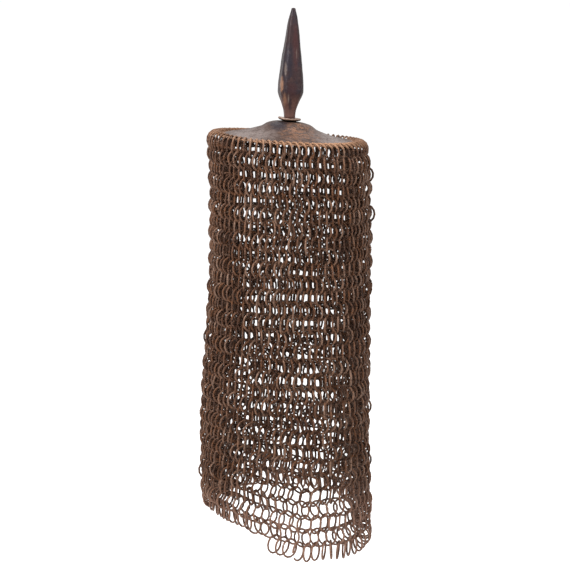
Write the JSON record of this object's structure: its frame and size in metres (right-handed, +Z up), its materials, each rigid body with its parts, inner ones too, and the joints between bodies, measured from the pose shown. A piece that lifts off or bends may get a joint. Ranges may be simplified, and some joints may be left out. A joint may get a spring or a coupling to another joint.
{
  "type": "chainmail coif with a spiked crown plate",
  "caption": "Iron crown plate with a faceted spike, and a tube of four-in-one mail that hangs from links through holes in its rim.",
  "frame": {"origin": "centre of the crown plate's rim, level with the rim's underside, where the top of the head sits", "axes": "+Z up along the hanging mail, the wearer looks along -Y, +X is to the right in the front view"},
  "size_m": [0.1751, 0.1736, 0.5444],
  "materials": {
    "plate_iron": "hammered sheet iron, grey-brown patina with ochre rust at the rim",
    "washer_iron": "rusted iron with a worn edge",
    "spike_iron": "dark purple-brown forged iron, worn on its ridges",
    "mail_wire": "brown rusted iron wire"
  },
  "bodies": {
    "root": {"top_plate": "plate_iron", "finial_washer": "washer_iron", "finial": "spike_iron", "mail_curtain": "mail_wire"}
  },
  "joints": []
}
